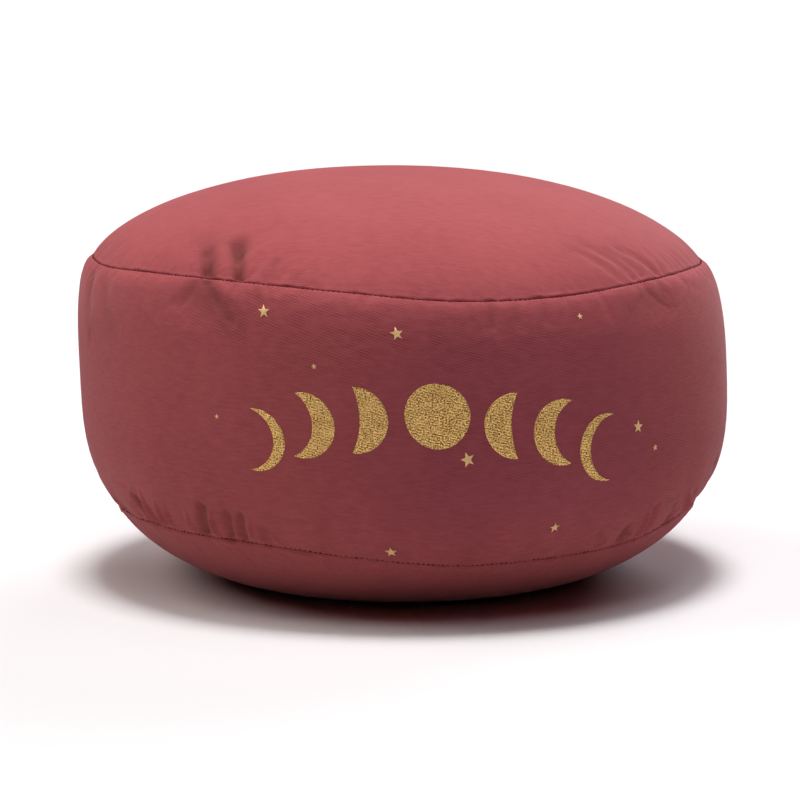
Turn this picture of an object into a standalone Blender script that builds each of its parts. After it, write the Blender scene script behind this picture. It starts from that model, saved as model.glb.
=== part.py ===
"""Zafu meditation cushion: a firm round drum with a crowned top, in three sewn pieces.

A side band is sewn between two round panels, and the filling swells all three. The filled band is one
closed solid: its crown and its underside lie just inside the two panels, which are sheets of cloth.

Metres, +Z up. The origin is on the floor under the middle of the flat base, and the front is at -Y.
Angles go anticlockwise from +X, in degrees, so the front is at -90.
"""

import math
from collections import namedtuple

import bmesh
import bpy
from mathutils import Vector

# Driving dimensions of the filled cushion
WIDEST_RADIUS = 0.165
WIDEST_HEIGHT = 0.103
TOP_SEAM_RADIUS = 0.154
TOP_SEAM_HEIGHT = 0.1627
BOTTOM_SEAM_HEIGHT = 0.035
BASE_RADIUS = 0.080
CROWN_RISE = 0.0425
CROWN_HEIGHT = TOP_SEAM_HEIGHT + CROWN_RISE

# Cloth, and the gap that touching pieces keep
CLOTH = 0.002
CLEARANCE = 0.0003

# How full each stretch of the outline is: powers of a Lame curve, where 2 and 2 is an ellipse
CROWN_POWERS = (2.47, 1.40)
UPPER_BAND_POWERS = (3.05, 2.0)
LOWER_POWERS = (1.50, 2.90)

# The bottom seam's stitches draw the cloth in, most on the seam itself
SEAM_PINCH = 0.0016
PINCH_REACH = 0.006

# The filling has slumped, so the cushion leans to -X above UPRIGHT_HEIGHT and to +X below it
LEAN_PER_METRE = 0.34
UPRIGHT_HEIGHT = 0.1

# Mesh steps
SEGMENTS = 128
CROWN_STEPS = 8
UPPER_BAND_STEPS = 9
LOWER_BAND_STEPS = 9
UNDERSIDE_STEPS = 5
MERGE_DISTANCE = 0.00001
CREASE_DEGREES = 50

# How far each seam wanders above or below its height, every 20 degrees
Wander = namedtuple("Wander", "angle top bottom")
WANDERS = (
    Wander(-180, 0.0007, 0.0034),
    Wander(-160, 0.0016, 0.0040),
    Wander(-140, 0.0044, 0.0040),
    Wander(-120, 0.0048, 0.0042),
    Wander(-100, 0.0022, -0.0002),
    Wander(-80, -0.0023, -0.0051),
    Wander(-60, -0.0027, -0.0046),
    Wander(-40, -0.0004, -0.0026),
    Wander(-20, -0.0001, 0.0050),
    Wander(0, -0.0026, 0.0035),
    Wander(20, -0.0025, 0.0008),
    Wander(40, -0.0015, -0.0010),
    Wander(60, 0.0000, -0.0030),
    Wander(80, 0.0010, -0.0040),
    Wander(100, 0.0000, -0.0030),
    Wander(120, -0.0005, -0.0010),
    Wander(140, -0.0018, 0.0010),
    Wander(160, -0.0020, 0.0025),
)

# Folds in the band: a trough between two places on it, each an angle and a height
BandFold = namedtuple("BandFold", "angle_1 height_1 angle_2 height_2 width depth")
BAND_FOLDS = (
    BandFold(-128, 0.157, -120, 0.146, 0.0070, 0.0020),
    BandFold(-163, 0.154, -160, 0.132, 0.0055, 0.0016),
    BandFold(-154, 0.153, -150, 0.136, 0.0060, 0.0012),
    BandFold(-46, 0.153, -36, 0.155, 0.0060, 0.0014),
    BandFold(-148, 0.052, -146, 0.037, 0.0050, 0.0022),
    BandFold(-129, 0.053, -131, 0.036, 0.0060, 0.0030),
    BandFold(-121, 0.051, -122, 0.037, 0.0055, 0.0022),
    BandFold(-51, 0.046, -50, 0.037, 0.0055, 0.0012),
    BandFold(-44, 0.044, -43, 0.037, 0.0055, 0.0016),
    BandFold(-38, 0.052, -37, 0.037, 0.0055, 0.0026),
    BandFold(-31, 0.048, -28, 0.037, 0.0055, 0.0016),
    BandFold(-23, 0.050, -21, 0.037, 0.0055, 0.0022),
    BandFold(-13, 0.058, -10, 0.036, 0.0060, 0.0024),
    BandFold(24, 0.060, 19, 0.036, 0.0070, 0.0020),
    BandFold(62, 0.056, 66, 0.036, 0.0070, 0.0018),
    BandFold(104, 0.054, 100, 0.036, 0.0070, 0.0020),
    BandFold(141, 0.060, 146, 0.036, 0.0070, 0.0022),
)

# Folds in the top panel: a trough between two places on it, each an angle and a distance from the axis
TopFold = namedtuple("TopFold", "angle_1 reach_1 angle_2 reach_2 width depth")
TOP_FOLDS = (
    TopFold(-134, 0.127, -127, 0.149, 0.0050, 0.0034),
    TopFold(-122, 0.134, -119, 0.149, 0.0050, 0.0034),
    TopFold(-46, 0.132, -41, 0.149, 0.0050, 0.0013),
    TopFold(-38, 0.138, -34, 0.149, 0.0050, 0.0013),
    TopFold(48, 0.130, 50, 0.149, 0.0060, 0.0020),
    TopFold(118, 0.128, 116, 0.149, 0.0060, 0.0022),
)
# A fold fades out over these distances, above and under the top seam and under the bottom one
TOP_SEAM_FADE = 0.006
BOTTOM_SEAM_FADE = 0.014

# The lower edge of the band is eased on to its panel in small gathers, bunched by two slower waves
GATHERS = 31
GATHER_DEPTH = 0.0008
GATHER_REACH = 0.024
SLOW_BUNCHES = 3
QUICK_BUNCHES = 7
BUNCHING = 0.9

CLOTH_COLOUR = (0.40, 0.085, 0.09, 1.0)
CLOTH_ROUGHNESS = 0.85


def clear_scene():
    for thing in list(bpy.data.objects):
        bpy.data.objects.remove(thing, do_unlink=True)


def new_collection(name):
    collection = bpy.data.collections.new(name)
    bpy.context.scene.collection.children.link(collection)
    return collection


def cloth_material(name):
    material = bpy.data.materials.new(name)
    material.use_nodes = True
    shader = material.node_tree.nodes["Principled BSDF"]
    shader.inputs["Base Color"].default_value = CLOTH_COLOUR
    shader.inputs["Roughness"].default_value = CLOTH_ROUGHNESS
    shader.inputs["Metallic"].default_value = 0.0
    material.diffuse_color = CLOTH_COLOUR
    return material


# The outline of the turned form


def lame_quarter(powers, steps):
    """Points (a, b) of the curve a^powers[0] + b^powers[1] = 1, from (1, 0) to (0, 1)."""
    points = []
    for step in range(steps + 1):
        turn = math.pi / 2 * step / steps
        points.append((math.cos(turn) ** (2 / powers[0]), math.sin(turn) ** (2 / powers[1])))
    return points


def crown_line():
    """(radius, height) of the top panel's outer side, from the axis out to the seam."""
    foot = TOP_SEAM_HEIGHT + CLEARANCE
    rise = CROWN_HEIGHT - foot
    line = [(TOP_SEAM_RADIUS * a, foot + rise * b) for a, b in lame_quarter(CROWN_POWERS, CROWN_STEPS)]
    return line[::-1]


def lower_radius(height):
    """The outline's radius at a height at or below the widest place, before the stitches draw it in."""
    drop = 1 - height / WIDEST_HEIGHT
    across = WIDEST_RADIUS - BASE_RADIUS
    return BASE_RADIUS + across * (1 - drop ** LOWER_POWERS[1]) ** (1 / LOWER_POWERS[0])


def lower_arc(from_turn, to_turn, steps):
    """Points of the outline below the widest place, where a turn of 0 is that place and pi / 2 the base."""
    line = []
    for step in range(steps + 1):
        turn = from_turn + (to_turn - from_turn) * step / steps
        height = WIDEST_HEIGHT * (1 - math.sin(turn) ** (2 / LOWER_POWERS[1]))
        pinch = SEAM_PINCH * math.exp(-abs(height - BOTTOM_SEAM_HEIGHT) / PINCH_REACH)
        line.append((lower_radius(height) - pinch, height))
    return line


def turn_at(height):
    """The turn of lower_arc at a height."""
    return math.asin((1 - height / WIDEST_HEIGHT) ** (LOWER_POWERS[1] / 2))


def band_line():
    """(radius, height) of the band, from the top seam down to the bottom one."""
    out = WIDEST_RADIUS - TOP_SEAM_RADIUS
    up = TOP_SEAM_HEIGHT - WIDEST_HEIGHT
    upper = [
        (TOP_SEAM_RADIUS + out * b, WIDEST_HEIGHT + up * a)
        for a, b in lame_quarter(UPPER_BAND_POWERS, UPPER_BAND_STEPS)
    ]
    lower = lower_arc(0.0, turn_at(BOTTOM_SEAM_HEIGHT), LOWER_BAND_STEPS)
    return upper + lower[1:]


def underside_line():
    """(radius, height) of the bottom panel's outer side, from the seam in to the axis."""
    line = lower_arc(turn_at(BOTTOM_SEAM_HEIGHT - CLEARANCE), math.pi / 2, UNDERSIDE_STEPS)
    return line[:-1] + [(BASE_RADIUS, 0.0), (0.0, 0.0)]


# How the real, slumped and sewn form departs from the turned one


def tent(value, low, peak, high):
    """0 at low and high and beyond, rising evenly to 1 at peak."""
    if value <= low or value >= high:
        return 0.0
    if value < peak:
        return (value - low) / (peak - low)
    return (high - value) / (high - peak)


def wander_at(angle, column):
    """A seam's height above its mean at an angle in degrees, read smoothly between the rows of WANDERS."""
    spacing = 360 / len(WANDERS)
    place = ((angle - WANDERS[0].angle) % 360) / spacing
    row = int(place)
    share = place - row
    before, here, there, after = (
        getattr(WANDERS[(row + step) % len(WANDERS)], column) for step in (-1, 0, 1, 2)
    )
    # A Catmull-Rom spline through the four rows
    bend = 2 * before - 5 * here + 4 * there - after
    turn = 3 * (here - there) + after - before
    return here + 0.5 * share * (there - before + share * (bend + share * turn))


def trough(place, start, end, width):
    """How deep a place lies in a soft trough from start to end: 1 on its line and 0 well beside it."""
    along = end - start
    share = max(0.0, min(1.0, (place - start).dot(along) / along.length_squared))
    off = (place - start - share * along).length
    return math.exp(-((off / width) ** 2))


def turned_apart(angle, other):
    """The signed angle from other to angle, in degrees, the short way round."""
    return (angle - other + 180) % 360 - 180


def band_hollow(angle, height):
    """How far the band lies inside the turned form, at an angle in degrees and a height."""
    under_top = (TOP_SEAM_HEIGHT - height) / TOP_SEAM_FADE
    over_base = 1 - (BOTTOM_SEAM_HEIGHT - height) / BOTTOM_SEAM_FADE
    fade = max(0.0, min(1.0, under_top, over_base))
    if not fade:
        return 0.0
    arc = math.radians(WIDEST_RADIUS)
    depth = 0.0
    for fold in BAND_FOLDS:
        place = Vector((turned_apart(angle, fold.angle_1) * arc, height))
        start = Vector((0.0, fold.height_1))
        end = Vector((turned_apart(fold.angle_2, fold.angle_1) * arc, fold.height_2))
        depth += fold.depth * trough(place, start, end, fold.width)
    reach = math.exp(-(((height - BOTTOM_SEAM_HEIGHT) / GATHER_REACH) ** 2))
    turn = math.radians(angle)
    bunching = BUNCHING * (math.sin(SLOW_BUNCHES * turn) + math.cos(QUICK_BUNCHES * turn))
    depth += GATHER_DEPTH * reach * math.sin(GATHERS * turn + bunching)
    return depth * fade


def crown_hollow(x, y):
    """How far the top panel lies below the turned form."""
    place = Vector((x, y))
    fade = max(0.0, min(1.0, (TOP_SEAM_RADIUS - place.length) / TOP_SEAM_FADE))
    depth = 0.0
    for fold in TOP_FOLDS:
        ends = []
        for angle, reach in ((fold.angle_1, fold.reach_1), (fold.angle_2, fold.reach_2)):
            turn = math.radians(angle)
            ends.append(Vector((reach * math.cos(turn), reach * math.sin(turn))))
        depth += fold.depth * trough(place, *ends, fold.width)
    return depth * fade


def settle(point):
    """Where a point of the turned form lies on the real cushion."""
    x, y, height = point
    turn = math.atan2(y, x)
    angle = math.degrees(turn)
    radius = math.hypot(x, y)
    moved = height
    moved += wander_at(angle, "top") * tent(height, WIDEST_HEIGHT, TOP_SEAM_HEIGHT, CROWN_HEIGHT)
    moved += wander_at(angle, "bottom") * tent(height, 0.0, BOTTOM_SEAM_HEIGHT, WIDEST_HEIGHT)
    if 0.0 < height < WIDEST_HEIGHT:
        # The bottom seam wanders over the swollen form without changing its outline
        radius += lower_radius(moved) - lower_radius(height)
    if height > TOP_SEAM_HEIGHT:
        moved -= crown_hollow(x, y)
    elif height > 0.0:
        radius -= band_hollow(angle, height)
    lean = LEAN_PER_METRE * moved * (UPRIGHT_HEIGHT - moved)
    return Vector((radius * math.cos(turn) + lean, radius * math.sin(turn), moved))


# The three skins and the pieces made from them


def turned_skin(name, line):
    """An open mesh: the line turned about Z with a Screw modifier, then settled."""
    profile = bpy.data.meshes.new(name + "_profile")
    points = [(radius, 0.0, height) for radius, height in line]
    profile.from_pydata(points, [(i, i + 1) for i in range(len(points) - 1)], [])
    turned = bpy.data.objects.new(name + "_turned", profile)
    bpy.context.scene.collection.objects.link(turned)
    screw = turned.modifiers.new("turn", "SCREW")
    screw.axis = "Z"
    screw.steps = SEGMENTS
    screw.render_steps = SEGMENTS
    screw.use_merge_vertices = True
    screw.merge_threshold = MERGE_DISTANCE
    bpy.context.view_layer.update()
    graph = bpy.context.evaluated_depsgraph_get()
    skin = bpy.data.meshes.new_from_object(turned.evaluated_get(graph))
    bpy.data.objects.remove(turned, do_unlink=True)
    bpy.data.meshes.remove(profile)
    skin.name = name
    for vertex in skin.vertices:
        vertex.co = settle(vertex.co)
    skin.update()
    return skin


def add_object(collection, name, mesh):
    piece = bpy.data.objects.new(name, mesh)
    collection.objects.link(piece)
    mesh.materials.clear()
    mesh.materials.append(cloth_material(name + "_twill"))
    mesh.shade_smooth()
    mesh.set_sharp_from_angle(angle=math.radians(CREASE_DEGREES))
    return piece


def add_panel(collection, name, skin):
    """A sheet of cloth whose outer side is the skin."""
    panel = add_object(collection, name, skin.copy())
    sheet = panel.modifiers.new("cloth", "SOLIDIFY")
    sheet.thickness = CLOTH
    sheet.offset = -1.0
    return panel


def sunk_skin(bm, skin, edge_shift):
    """Adds the skin to bm, pushed in by a cloth's thickness and the clearance. Returns its open edge."""
    known = set(bm.verts)
    bm.from_mesh(skin)
    bm.normal_update()
    fresh = [vertex for vertex in bm.verts if vertex not in known]
    depth = CLOTH + CLEARANCE
    moves = {vertex: -depth * vertex.normal for vertex in fresh}
    for vertex, move in moves.items():
        vertex.co += move
        if vertex.is_boundary:
            vertex.co.z += edge_shift
    return open_edges(fresh)


def open_edges(vertices):
    return list({edge for vertex in vertices for edge in vertex.link_edges if edge.is_boundary})


def add_filled_band(collection, name, band, crown, underside):
    """The band and what it holds: its own skin, and the panels' skins pushed in, bridged at both seams."""
    bm = bmesh.new()
    bm.from_mesh(band)
    edges = open_edges(list(bm.verts))
    top_edge = [edge for edge in edges if edge.verts[0].co.z > WIDEST_HEIGHT]
    bottom_edge = [edge for edge in edges if edge.verts[0].co.z < WIDEST_HEIGHT]
    under_top = sunk_skin(bm, crown, -CLEARANCE)
    over_bottom = sunk_skin(bm, underside, CLEARANCE)
    bmesh.ops.bridge_loops(bm, edges=top_edge + under_top)
    bmesh.ops.bridge_loops(bm, edges=bottom_edge + over_bottom)
    bmesh.ops.recalc_face_normals(bm, faces=bm.faces)
    mesh = bpy.data.meshes.new(name)
    bm.to_mesh(mesh)
    bm.free()
    return add_object(collection, name, mesh)


def build():
    clear_scene()
    cushion = new_collection("zafu_cushion")
    crown = turned_skin("crown_skin", crown_line())
    band = turned_skin("band_skin", band_line())
    underside = turned_skin("underside_skin", underside_line())
    add_filled_band(cushion, "filled_band", band, crown, underside)
    add_panel(cushion, "top_panel", crown)
    add_panel(cushion, "bottom_panel", underside)
    for skin in (crown, band, underside):
        bpy.data.meshes.remove(skin)


build()
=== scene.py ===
# %% [markdown]
# # A round meditation cushion
# The cushion is a firm drum sewn from three cloths: a round top panel, a side band and a round bottom
# panel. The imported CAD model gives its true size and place, so it is loaded first, and nothing in it
# moves. Everything after that dresses it: finer cloth, seams, stitches, foil print and light.

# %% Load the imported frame
import math
from collections import namedtuple

import bmesh
import bpy
import numpy as np
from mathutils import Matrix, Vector


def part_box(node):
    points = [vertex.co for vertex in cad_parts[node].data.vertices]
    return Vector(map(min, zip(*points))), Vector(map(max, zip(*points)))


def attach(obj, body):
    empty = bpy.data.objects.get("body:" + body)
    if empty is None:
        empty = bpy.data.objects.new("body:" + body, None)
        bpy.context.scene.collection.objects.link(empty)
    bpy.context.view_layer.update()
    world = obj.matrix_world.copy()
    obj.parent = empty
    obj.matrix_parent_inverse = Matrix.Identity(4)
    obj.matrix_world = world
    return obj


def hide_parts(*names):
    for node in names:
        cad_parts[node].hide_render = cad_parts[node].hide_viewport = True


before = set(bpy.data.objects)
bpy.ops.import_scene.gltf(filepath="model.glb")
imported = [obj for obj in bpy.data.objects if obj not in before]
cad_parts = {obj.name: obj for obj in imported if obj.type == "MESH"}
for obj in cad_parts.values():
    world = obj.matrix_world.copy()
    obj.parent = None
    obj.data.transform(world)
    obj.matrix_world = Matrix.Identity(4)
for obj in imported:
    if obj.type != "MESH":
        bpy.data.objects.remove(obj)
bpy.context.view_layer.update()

# %% [markdown]
# ## The outline
# A filled cushion is almost a turned form: one outline, spun round the middle. The outline could be drawn
# by hand as points, but a few Lame curves (an ellipse whose powers aren't 2 and 2) say it with fewer
# numbers, and they can be stepped as finely as a seam needs. The CAD source uses the same curves, so the
# cloth made here lies where the solids are. The two largest sizes are read from the frame itself.

# %% The sizes of the outline
WIDEST_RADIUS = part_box("filled_band")[1].y
CROWN_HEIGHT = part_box("top_panel")[1].z
WIDEST_HEIGHT = 0.103
TOP_SEAM_RADIUS = 0.154
TOP_SEAM_HEIGHT = 0.1627
BOTTOM_SEAM_HEIGHT = 0.035
BASE_RADIUS = 0.080
CROWN_POWERS = (2.47, 1.40)
UPPER_BAND_POWERS = (3.05, 2.0)
LOWER_POWERS = (1.50, 2.90)
SEAM_PINCH = 0.0016
PINCH_REACH = 0.006
ARC_POINTS = 400


def lame_arc(powers):
    """The curve a^powers[0] + b^powers[1] = 1, from (1, 0) to (0, 1)."""
    turn = np.linspace(0, math.pi / 2, ARC_POINTS)
    return np.cos(turn) ** (2 / powers[0]), np.sin(turn) ** (2 / powers[1])


def lower_radius(height):
    """The outline's radius at or below the widest place, before the bottom seam draws it in."""
    drop = 1 - height / WIDEST_HEIGHT
    across = WIDEST_RADIUS - BASE_RADIUS
    return BASE_RADIUS + across * (1 - drop ** LOWER_POWERS[1]) ** (1 / LOWER_POWERS[0])


def lower_arc(high, low):
    """The outline below the widest place, between two heights."""
    power = 2 / LOWER_POWERS[1]
    turns = [math.asin((1 - height / WIDEST_HEIGHT) ** (1 / power)) for height in (high, low)]
    height = WIDEST_HEIGHT * (1 - np.sin(np.linspace(*turns, ARC_POINTS)) ** power)
    pinch = SEAM_PINCH * np.exp(-np.abs(height - BOTTOM_SEAM_HEIGHT) / PINCH_REACH)
    return np.stack([lower_radius(height) - pinch, height], axis=1)


# %% The outline as one line, from the crown's middle to the base's middle
out, up = lame_arc(CROWN_POWERS)
heights = TOP_SEAM_HEIGHT + (CROWN_HEIGHT - TOP_SEAM_HEIGHT) * up
crown = np.stack([TOP_SEAM_RADIUS * out, heights], axis=1)[::-1]
up, out = lame_arc(UPPER_BAND_POWERS)
heights = WIDEST_HEIGHT + (TOP_SEAM_HEIGHT - WIDEST_HEIGHT) * up
upper = np.stack([TOP_SEAM_RADIUS + (WIDEST_RADIUS - TOP_SEAM_RADIUS) * out, heights], axis=1)
middle = lower_arc(WIDEST_HEIGHT, BOTTOM_SEAM_HEIGHT)
under = lower_arc(BOTTOM_SEAM_HEIGHT, 0.0)
stretches = [crown, upper[1:], middle[1:], under[1:], np.array([[0.0, 0.0]])]
outline = np.concatenate(stretches)
along = np.concatenate([[0.0], np.cumsum(np.linalg.norm(np.diff(outline, axis=0), axis=1))])
ends = [along[count - 1] for count in np.cumsum([len(stretch) for stretch in stretches])]
TOP_SEAM, _, BOTTOM_SEAM, FOOT_EDGE, BASE_MIDDLE = ends
print(f"Along the cloth: panel {TOP_SEAM:.3f} m, band {BOTTOM_SEAM - TOP_SEAM:.3f} m from seam to seam")

# %% [markdown]
# ## How the real cushion departs from it
# Nothing sewn is truly round. The seams wander a few millimetres, the filling has slumped so that the drum
# leans, and folds run into the seams. They could be sculpted by hand, but then nobody could change them.
# Here each is a row of a short table, in degrees and metres, as in the CAD source. The folds beside the
# front are split into narrower ones: what the solids show in large, the finer cloth shows sharply. Angles
# go anticlockwise from +X, so the front is at -90.

# %% A helper for tables
def table(names, *rows):
    """The rows of a table, whose columns are read by name."""
    row_of = namedtuple("row_of", names)
    return [row_of(*row) for row in rows]


# %% Where the seams wander
WANDERS = table(
    "angle top bottom",
    (-180, 0.0007, 0.0034),
    (-160, 0.0016, 0.0040),
    (-140, 0.0044, 0.0040),
    (-120, 0.0048, 0.0042),
    (-100, 0.0022, -0.0002),
    (-80, -0.0023, -0.0051),
    (-60, -0.0027, -0.0046),
    (-40, -0.0004, -0.0026),
    (-20, -0.0001, 0.0054),
    (0, -0.0026, 0.0043),
    (20, -0.0025, 0.0008),
    (40, -0.0015, -0.0010),
    (60, 0.0000, -0.0030),
    (80, 0.0010, -0.0040),
    (100, 0.0000, -0.0030),
    (120, -0.0005, -0.0010),
    (140, -0.0018, 0.0010),
    (160, -0.0020, 0.0025),
)


def read_curved(values, place, axis=0):
    """Values that go round, read smoothly (Catmull-Rom) at places counted in rows or columns."""
    row = np.floor(place).astype(int)
    share = (place - row).reshape(np.shape(place) + (1,) * (values.ndim - 1 - axis))
    steps = (-1, 0, 1, 2)
    before, here, there, after = (np.take(values, row + step, axis=axis, mode="wrap") for step in steps)
    bend = 2 * before - 5 * here + 4 * there - after
    turn = 3 * (here - there) + after - before
    return here + 0.5 * share * (there - before + share * (bend + share * turn))


def round_table(angle, rows, column):
    """A column of a table whose rows go evenly round the cushion, read at any angles."""
    values = np.array([getattr(row, column) for row in rows])
    return read_curved(values, np.asarray((angle - rows[0].angle) % 360 * len(rows) / 360))


# %% The folds of the band
BAND_FOLDS = table(
    "angle_1 height_1 angle_2 height_2 width depth",
    (-128, 0.157, -120, 0.146, 0.0070, 0.0020),
    (-125, 0.160, -123, 0.154, 0.0035, 0.0014),
    (-115, 0.160, -114, 0.155, 0.0030, 0.0008),
    (-163, 0.154, -160, 0.132, 0.0055, 0.0016),
    (-154, 0.153, -150, 0.136, 0.0060, 0.0012),
    (-77.5, 0.161, -77.2, 0.154, 0.0022, 0.0006),
    (-73.6, 0.161, -73.9, 0.152, 0.0026, 0.0010),
    (-69.2, 0.161, -69.7, 0.153, 0.0024, 0.0009),
    (-63.5, 0.161, -64.2, 0.154, 0.0026, 0.0007),
    (-46, 0.153, -36, 0.155, 0.0060, 0.0014),
    (-148, 0.050, -146, 0.036, 0.0034, 0.0028),
    (-128.5, 0.053, -130.5, 0.037, 0.0040, 0.0036),
    (-123, 0.052, -124.3, 0.037, 0.0030, 0.0020),
    (-120.2, 0.052, -121.4, 0.037, 0.0028, 0.0026),
    (-116.3, 0.046, -116.7, 0.037, 0.0028, 0.0016),
    (-51.8, 0.046, -50.2, 0.038, 0.0030, 0.0016),
    (-44.3, 0.044, -43.5, 0.037, 0.0030, 0.0020),
    (-38.4, 0.052, -36.9, 0.039, 0.0028, 0.0020),
    (-31.5, 0.048, -28.1, 0.037, 0.0030, 0.0014),
    (-23.2, 0.049, -20.8, 0.036, 0.0032, 0.0018),
    (-13, 0.058, -10, 0.036, 0.0060, 0.0024),
    (24, 0.060, 19, 0.036, 0.0070, 0.0020),
    (62, 0.056, 66, 0.036, 0.0070, 0.0018),
    (104, 0.054, 100, 0.036, 0.0070, 0.0020),
    (141, 0.060, 146, 0.036, 0.0070, 0.0022),
)

# %% The folds of the top
TOP_FOLDS = table(
    "angle_1 reach_1 angle_2 reach_2 width depth",
    (-134, 0.132, -131, 0.139, 0.0050, 0.0010),
    (-129.6, 0.1415, -125.2, 0.157, 0.0040, 0.0032),
    (-127.2, 0.1485, -124.8, 0.157, 0.0036, 0.0030),
    (-124.2, 0.1335, -122.4, 0.1385, 0.0040, 0.0050),
    (-121.4, 0.1440, -118.5, 0.157, 0.0034, 0.0032),
    (-120.0, 0.1500, -118.4, 0.157, 0.0030, 0.0022),
    (-113.2, 0.143, -112.8, 0.150, 0.0026, 0.0010),
    (-50, 0.134, -45, 0.150, 0.0032, 0.0010),
    (-46, 0.132, -41, 0.150, 0.0034, 0.0013),
    (-42, 0.137, -38, 0.150, 0.0030, 0.0011),
    (-38, 0.138, -34, 0.150, 0.0034, 0.0013),
    (48, 0.130, 50, 0.149, 0.0060, 0.0020),
    (118, 0.128, 116, 0.149, 0.0060, 0.0022),
)


# %% Helpers for folds
def by_line(place_x, place_y, start, end):
    """How far along a line each place lies, as a share of it, and how far off the line."""
    run = np.subtract(end, start)
    share = ((place_x - start[0]) * run[0] + (place_y - start[1]) * run[1]) / (run @ run)
    share = np.clip(share, 0, 1)
    return share, np.hypot(place_x - start[0] - share * run[0], place_y - start[1] - share * run[1])


def trough(place_x, place_y, start, end, width):
    """How deep each place lies in a soft trough from start to end: 1 on its line, 0 well beside it."""
    off = by_line(place_x, place_y, start, end)[1]
    return np.exp(-((off / width) ** 2))


def turned_apart(angle, other):
    """The signed angle from other to angle, in degrees, the short way round."""
    return (angle - other + 180) % 360 - 180


# %% How deep the folds are
TOP_SEAM_FADE = 0.0016
BOTTOM_SEAM_FADE = 0.007
SEAM_HOLD = 0.25
SEAM_HOLD_REACH = 0.004
GATHERS = 31
GATHER_DEPTH = 0.0008
GATHER_REACH = 0.024
SLOW_BUNCHES = 3
QUICK_BUNCHES = 7
BUNCHING = 0.9


def band_hollow(angle, height):
    """How far the band lies inside the turned form."""
    arc = math.radians(WIDEST_RADIUS)
    depth = np.zeros_like(height)
    for fold in BAND_FOLDS:
        end = (turned_apart(fold.angle_2, fold.angle_1) * arc, fold.height_2)
        place = turned_apart(angle, fold.angle_1) * arc
        depth += fold.depth * trough(place, height, (0.0, fold.height_1), end, fold.width)
    reach = np.exp(-(((height - BOTTOM_SEAM_HEIGHT) / GATHER_REACH) ** 2))
    turn = np.radians(angle)
    bunching = BUNCHING * (np.sin(SLOW_BUNCHES * turn) + np.cos(QUICK_BUNCHES * turn))
    depth += GATHER_DEPTH * reach * np.sin(GATHERS * turn + bunching)
    under_top = (TOP_SEAM_HEIGHT - height) / TOP_SEAM_FADE
    over_base = 1 - (BOTTOM_SEAM_HEIGHT - height) / BOTTOM_SEAM_FADE
    held = np.clip(np.abs(height - BOTTOM_SEAM_HEIGHT) / SEAM_HOLD_REACH, SEAM_HOLD, 1)
    return depth * held * np.clip(np.minimum(under_top, over_base), 0, 1)


def crown_hollow(x, y):
    """How far the top panel lies below the turned form."""
    depth = np.zeros_like(x)
    for fold in TOP_FOLDS:
        places = []
        for angle, reach in ((fold.angle_1, fold.reach_1), (fold.angle_2, fold.reach_2)):
            turn = math.radians(angle)
            places.append((reach * math.cos(turn), reach * math.sin(turn)))
        depth += fold.depth * trough(x, y, *places, fold.width)
    return depth * np.clip((TOP_SEAM_RADIUS - np.hypot(x, y)) / TOP_SEAM_FADE, 0, 1)


# %% From the turned form to the real one
LEAN_PER_METRE = 0.34
UPRIGHT_HEIGHT = 0.1


def tent(value, low, peak, high):
    """0 at low and high and beyond, rising evenly to 1 at peak."""
    return np.clip(np.minimum((value - low) / (peak - low), (high - value) / (high - peak)), 0, 1)


def settle(radius, height, angle):
    """Where points of the turned form lie on the slumped and sewn one, as an array of places."""
    radius, height, angle = np.broadcast_arrays(radius, height, angle)
    turn = np.radians(angle)
    near_top = tent(height, WIDEST_HEIGHT, TOP_SEAM_HEIGHT, CROWN_HEIGHT)
    near_bottom = tent(height, 0.0, BOTTOM_SEAM_HEIGHT, WIDEST_HEIGHT)
    moved = height + round_table(angle, WANDERS, "top") * near_top
    moved = moved + round_table(angle, WANDERS, "bottom") * near_bottom
    lower = (height > 0) & (height < WIDEST_HEIGHT)
    safe = [np.clip(value, 0, WIDEST_HEIGHT) for value in (moved, height)]
    radius = radius + np.where(lower, lower_radius(safe[0]) - lower_radius(safe[1]), 0)
    on_crown = height > TOP_SEAM_HEIGHT
    moved = moved - np.where(on_crown, crown_hollow(radius * np.cos(turn), radius * np.sin(turn)), 0)
    radius = radius - np.where(on_crown | (height <= 0), 0, band_hollow(angle, height))
    lean = LEAN_PER_METRE * moved * (UPRIGHT_HEIGHT - moved)
    return np.stack([radius * np.cos(turn) + lean, radius * np.sin(turn), moved], axis=-1)


def on_outline(place):
    """(radius, height) of the outline at a distance along the cloth."""
    return np.interp(place, along, outline[:, 0]), np.interp(place, along, outline[:, 1])


# %% [markdown]
# ## Puckers along the seams
# Each cloth is cut a little longer than the thread that holds it, so it bunches into small puckers across
# both seams. Painted as bump, they would leave the silhouette and the shadows smooth, so they are shape. A
# loop with a fixed seed lays many short troughs along each seam, deep where the cloth was eased on most,
# and sharp ridges stay up between them. The front middle of the lower seam is pulled tight and almost bare.

# %% How much cloth was eased on to each seam
EASES = table(
    "angle top bottom",
    (-180, 0.8, 0.7),
    (-160, 0.5, 0.9),
    (-140, 0.2, 0.5),
    (-120, 0.4, 0.4),
    (-100, 0.4, 0.2),
    (-80, 0.6, 0.1),
    (-60, 0.7, 0.2),
    (-40, 0.9, 0.4),
    (-20, 0.4, 0.6),
    (0, 0.4, 0.8),
    (20, 0.6, 0.6),
    (40, 0.8, 0.4),
    (60, 0.5, 0.7),
    (80, 0.3, 0.9),
    (100, 0.5, 0.8),
    (120, 0.8, 0.5),
    (140, 0.6, 0.7),
    (160, 0.4, 0.9),
)

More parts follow.
